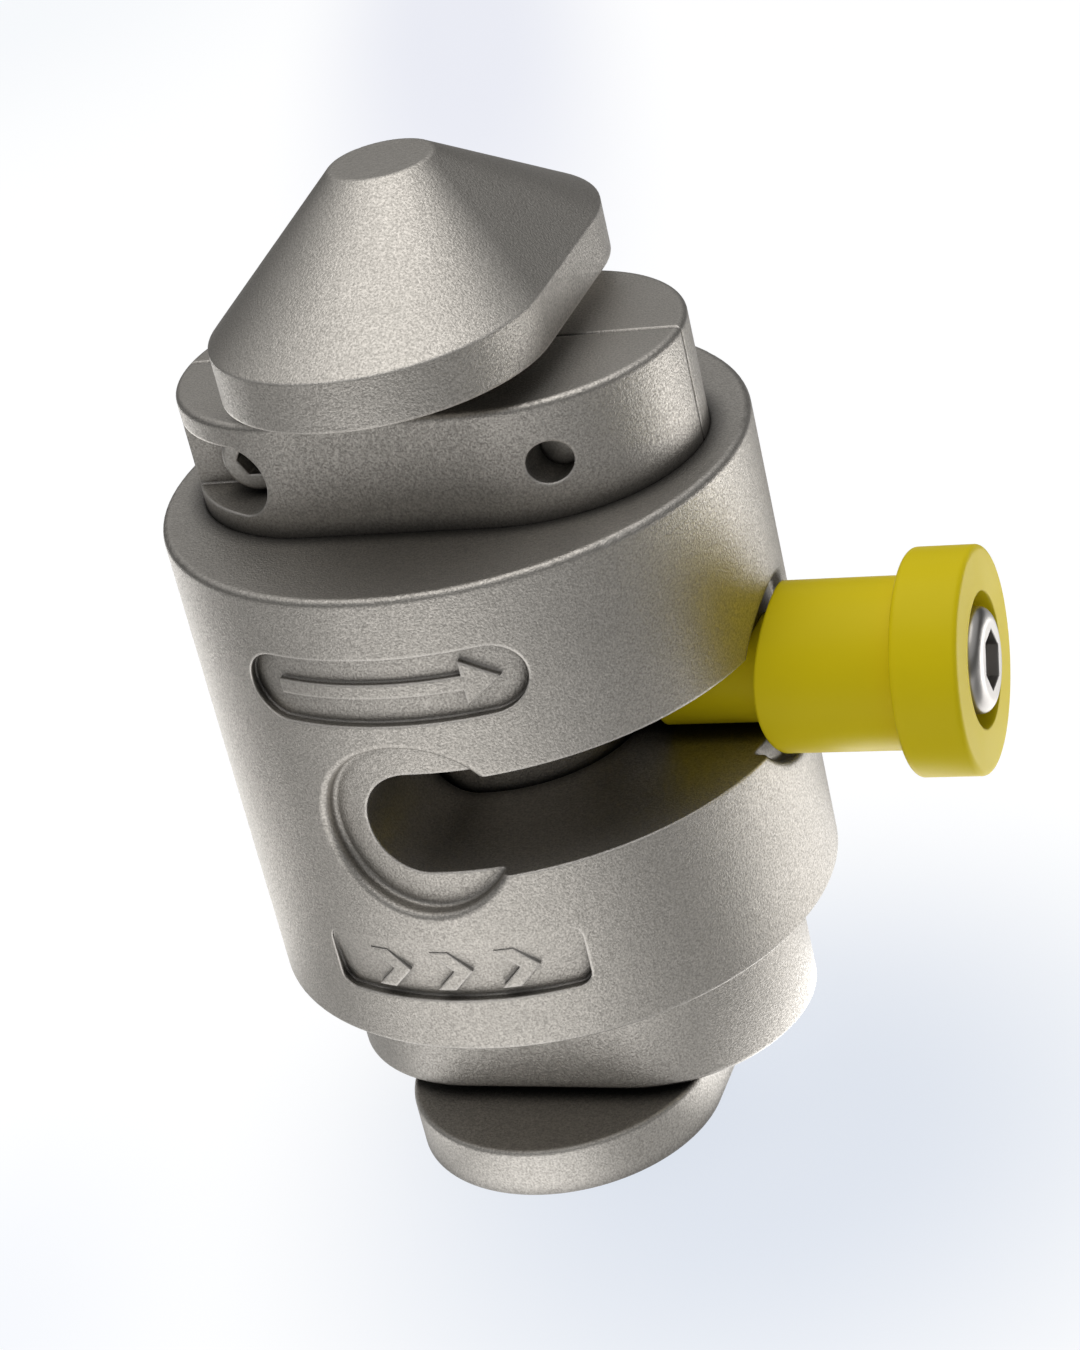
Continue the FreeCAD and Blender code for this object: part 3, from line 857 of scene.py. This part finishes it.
@dataclass
class Studio:
    """Pale floor, world and lamps."""

    floor_radius: float = 6.0
    floor_steps: int = 64
    floor_white: Colour = (0.945, 0.948, 0.955)
    floor_shadowed: float = 0.11
    floor_bounce: float = 0.80
    floor_mirrored: float = 0.20
    # Strength of the floor's painted glow in reflections, near the object and far out.
    mirror_near: float = 0.70
    mirror_far: float = 0.22
    mirror_reach: Span = (0.35, 0.9)
    world_seen: float = 0.98
    world_tint: Colour = (0.99, 0.995, 1.0)
    world_steps: tuple[Span, ...] = (
        (0.30, 0.05), (0.47, 0.50), (0.82, 0.52), (0.90, 0.62), (1.0, 0.62),
    )
    world_fill: float = 0.30
    # Painted shade on the backdrop: soft pale blue spots darker than the white, one round the object's
    # foot.
    painted_backdrop_shade: tuple[FloorPatch, ...] = (
        FloorPatch((0.045, -0.030), (0.125, 0.14), 0.0, (0.69, 0.735, 0.815)),
        FloorPatch((-0.265, 0.680), (0.085, 0.55), 20.0, (0.77, 0.785, 0.855)),
        FloorPatch((-0.56, 0.80), (0.26, 0.36), 0.0, (0.88, 0.90, 0.925)),
        FloorPatch((-0.115, -0.115), (0.08, 0.11), 0.0, (0.86, 0.88, 0.925)),
    )
    # Painted reflection: spots of painted light and shade on the floor's glow, which only reflections see.
    painted_reflection_spots: tuple[FloorPatch, ...] = (
        FloorPatch((-0.29, -0.07), (0.15, 0.36), -76.0, (0.08, 0.08, 0.08)),
        FloorPatch((0.28, -0.10), (0.16, 0.36), 70.0, (0.16, 0.16, 0.16)),
        FloorPatch((0.05, 0.29), (0.13, 0.34), 170.0, (0.12, 0.12, 0.12)),
        FloorPatch((0.0, -0.062), (0.035, 0.03), 0.0, (1.7, 1.7, 1.7)),
        FloorPatch((0.050, 0.010), (0.030, 0.050), 0.0, (4.0, 4.0, 4.0)),
        FloorPatch((-0.045, -0.052), (0.026, 0.026), 0.0, (1.8, 1.8, 1.8)),
    )
    cards: tuple[FloorCard, ...] = (
        FloorCard("front_card", -6.0, 0.09, 0.50, 0.18, 0.75),
        FloorCard("right_card", 121.0, 0.23, 0.58, 0.20, 2.7),
        FloorCard("right_near_card", 114.0, 0.08, 0.23, 0.12, 1.35),
        FloorCard("left_card", -125.0, 0.09, 0.50, 0.26, 1.5),
    )
    panel: TopPanel = TopPanel("top_panel", 1.1, 1.2, 1.5)

    def build(self) -> None:
        """Adds the floor, the world and the lamps."""
        self._floor()
        self._world()
        for lamp in (*self.cards, self.panel):
            lamp.make()

    def _floor(self) -> None:
        """Adds a round floor that camera rays see as near white with soft pale blue painted shade, and
        that glows for reflections with painted light and shade.
        """
        turns = [math.tau * step / self.floor_steps for step in range(self.floor_steps)]
        ring = [(self.floor_radius * math.cos(turn), self.floor_radius * math.sin(turn), 0.0)
                for turn in turns]
        mesh = bpy.data.meshes.new("floor")
        mesh.from_pydata(ring, [], [list(range(self.floor_steps))])
        floor = bpy.data.objects.new("floor", mesh)
        bpy.context.scene.collection.objects.link(floor)
        material = bpy.data.materials.new("floor_paint")
        material.use_nodes = True
        tree = material.node_tree
        tree.nodes.clear()
        out = tree.nodes.new("ShaderNodeOutputMaterial")
        path = tree.nodes.new("ShaderNodeLightPath")
        bounce = self._step(tree, path.outputs["Is Glossy Ray"], self.floor_bounce, self.floor_mirrored)
        bounce = self._step(tree, path.outputs["Is Camera Ray"], bounce, self.floor_shadowed)
        shadowed = tree.nodes.new("ShaderNodeBsdfDiffuse")
        tree.links.new(bounce, shadowed.inputs["Color"])
        white = tree.nodes.new("ShaderNodeRGB")
        white.outputs[0].default_value = rgba(self.floor_white)
        colour = white.outputs[0]
        # Painted shade laid over the backdrop's white.
        for patch in self.painted_backdrop_shade:
            colour = patch.paint(tree, colour)
        # Painted reflection: the floor glows for glossy rays with this grey and its spots.
        painted_reflection = self._mirror_tone(tree)
        for shade in self.painted_reflection_spots:
            painted_reflection = shade.paint(tree, painted_reflection)
        pick = tree.nodes.new("ShaderNodeMix")
        pick.data_type = "RGBA"
        tree.links.new(path.outputs["Is Camera Ray"], pick.inputs[0])
        tree.links.new(painted_reflection, pick.inputs[MIX_FIRST])
        tree.links.new(colour, pick.inputs[MIX_SECOND])
        seen = tree.nodes.new("ShaderNodeMath")
        seen.operation = "MAXIMUM"
        tree.links.new(path.outputs["Is Camera Ray"], seen.inputs[0])
        tree.links.new(path.outputs["Is Glossy Ray"], seen.inputs[1])
        glow = tree.nodes.new("ShaderNodeEmission")
        tree.links.new(pick.outputs[MIX_RESULT], glow.inputs["Color"])
        tree.links.new(seen.outputs[0], glow.inputs["Strength"])
        both = tree.nodes.new("ShaderNodeAddShader")
        tree.links.new(glow.outputs[0], both.inputs[0])
        tree.links.new(shadowed.outputs[0], both.inputs[1])
        tree.links.new(both.outputs[0], out.inputs["Surface"])
        mesh.materials.append(material)
        floor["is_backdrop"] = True
        LOG.info("floor laid")

    @staticmethod
    def _step(tree: bpy.types.NodeTree, which: bpy.types.NodeSocket, other: object,
              value: object) -> bpy.types.NodeSocket:
        """Gives one number to the rays of a kind.

        Args:
            tree: the node tree.
            which: 1 for that kind of ray.
            other: the number or socket for every other ray.
            value: the number or socket for that kind.

        Returns:
            The picked number.
        """
        pick = tree.nodes.new("ShaderNodeMix")
        pick.data_type = "FLOAT"
        tree.links.new(which, pick.inputs[0])
        for index, given in ((BLEND_FIRST, other), (BLEND_SECOND, value)):
            if isinstance(given, bpy.types.NodeSocket):
                tree.links.new(given, pick.inputs[index])
            else:
                pick.inputs[index].default_value = given
        return pick.outputs[0]

    def _mirror_tone(self, tree: bpy.types.NodeTree) -> bpy.types.NodeSocket:
        """Gives the painted light that the floor glows with in reflections: brighter near the object and
        darker far out.

        Args:
            tree: the floor's node tree.

        Returns:
            The grey as a colour.
        """
        place = tree.nodes.new("ShaderNodeTexCoord")
        away = tree.nodes.new("ShaderNodeVectorMath")
        away.operation = "LENGTH"
        tree.links.new(place.outputs["Object"], away.inputs[0])
        fade = tree.nodes.new("ShaderNodeMapRange")
        fade.inputs["From Min"].default_value = self.mirror_reach[0]
        fade.inputs["From Max"].default_value = self.mirror_reach[1]
        fade.inputs["To Min"].default_value = self.mirror_near
        fade.inputs["To Max"].default_value = self.mirror_far
        tree.links.new(away.outputs["Value"], fade.inputs["Value"])
        return fade.outputs[0]

    def _world(self) -> None:
        """Sets a world that is white to the camera and a soft grey studio to the object."""
        world = bpy.data.worlds.new("studio")
        bpy.context.scene.world = world
        world.use_nodes = True
        tree = world.node_tree
        tree.nodes.clear()
        out = tree.nodes.new("ShaderNodeOutputWorld")
        path = tree.nodes.new("ShaderNodeLightPath")
        place = tree.nodes.new("ShaderNodeTexCoord")
        split = tree.nodes.new("ShaderNodeSeparateXYZ")
        tree.links.new(place.outputs["Generated"], split.inputs[0])
        height = tree.nodes.new("ShaderNodeValToRGB")
        ramp = height.color_ramp.elements
        while len(ramp) < len(self.world_steps):
            ramp.new(0.5)
        for step, (rise, grey) in zip(ramp, self.world_steps):
            step.position = rise
            step.color = rgba((grey, grey, grey))
        tree.links.new(split.outputs["Z"], height.inputs["Fac"])
        light = self._step(tree, path.outputs["Is Glossy Ray"], self.world_fill, height.outputs[0])
        light = self._step(tree, path.outputs["Is Camera Ray"], light, self.world_seen)
        back = tree.nodes.new("ShaderNodeBackground")
        back.inputs["Color"].default_value = rgba(self.world_tint)
        tree.links.new(light, back.inputs["Strength"])
        tree.links.new(back.outputs[0], out.inputs["Surface"])
        LOG.info("world set")


@dataclass(frozen=True)
class PhotoCamera:
    """Camera at the photograph's viewing angle."""

    target: Point = (0.00527, 0.00266, 0.08653)
    azimuth: float = 24.2
    elevation: float = 27.426
    roll: float = 13.709
    distance: float = 0.6401
    lens: float = 87.698
    film_height: float = 36.0
    nearest: float = 0.01

    def make(self) -> None:
        """Adds the camera and makes it the scene's own."""
        turn, lift = math.radians(self.azimuth), math.radians(self.elevation)
        back = Vector((math.sin(turn) * math.cos(lift), -math.cos(turn) * math.cos(lift), math.sin(lift)))
        right = Vector((0.0, 0.0, 1.0)).cross(back).normalized()
        up = back.cross(right)
        lean = math.radians(self.roll)
        rolled_up = up * math.cos(lean) + right * math.sin(lean)
        rolled_right = rolled_up.cross(back)
        data = bpy.data.cameras.new("photo_camera")
        data.sensor_fit = "VERTICAL"
        data.sensor_height = self.film_height
        data.lens = self.lens
        data.clip_start = self.nearest
        camera = bpy.data.objects.new("photo_camera", data)
        bpy.context.scene.collection.objects.link(camera)
        turned = Matrix((rolled_right, rolled_up, back)).transposed().to_4x4()
        camera.matrix_world = Matrix.Translation(Vector(self.target) + back * self.distance) @ turned
        bpy.context.scene.camera = camera
        LOG.info("camera placed")


def note_size(key: str, notes: dict) -> None:
    """Keeps the object's box under a name."""
    low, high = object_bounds()
    notes[key] = [list(low), list(high)]


def main() -> None:
    """Builds the dressed twistlock, the studio and the camera."""
    logging.basicConfig(level=logging.INFO, format="%(name)s: %(message)s")
    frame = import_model()
    sizes: dict = {}
    note_size("cad", sizes)
    effects = EffectLibrary()
    steel = BlastedSteel("blasted_steel", shade_gaps=True)
    bright = BrightSteel("bright_steel")
    bronze = BearingBronze("bearing_bronze")
    screw = BlastedSteel("clamp_screw_steel", base=(0.46, 0.44, 0.41), roughness=0.36, grain_depth=0.00002)
    CastBody(steel, screw, bright, bronze).build(frame, effects)
    satin = BrightSteel("screw_steel", base=(0.46, 0.445, 0.43), worn=(0.40, 0.385, 0.37), roughness=0.32)
    TwistShaft(BlastedSteel("forged_steel"), BrightSteel("core_steel"), satin, CoilSpring(),
               HandleScrew()).build(frame, effects)
    HandleGrip(SatinPlastic("yellow_plastic"), BearingBronze("grip_bronze")).build(frame, effects)
    Studio().build()
    PhotoCamera().make()
    note_size("visual", sizes)
    bpy.context.scene.view_settings.view_transform = "Standard"


if __name__ == "__main__":
    main()
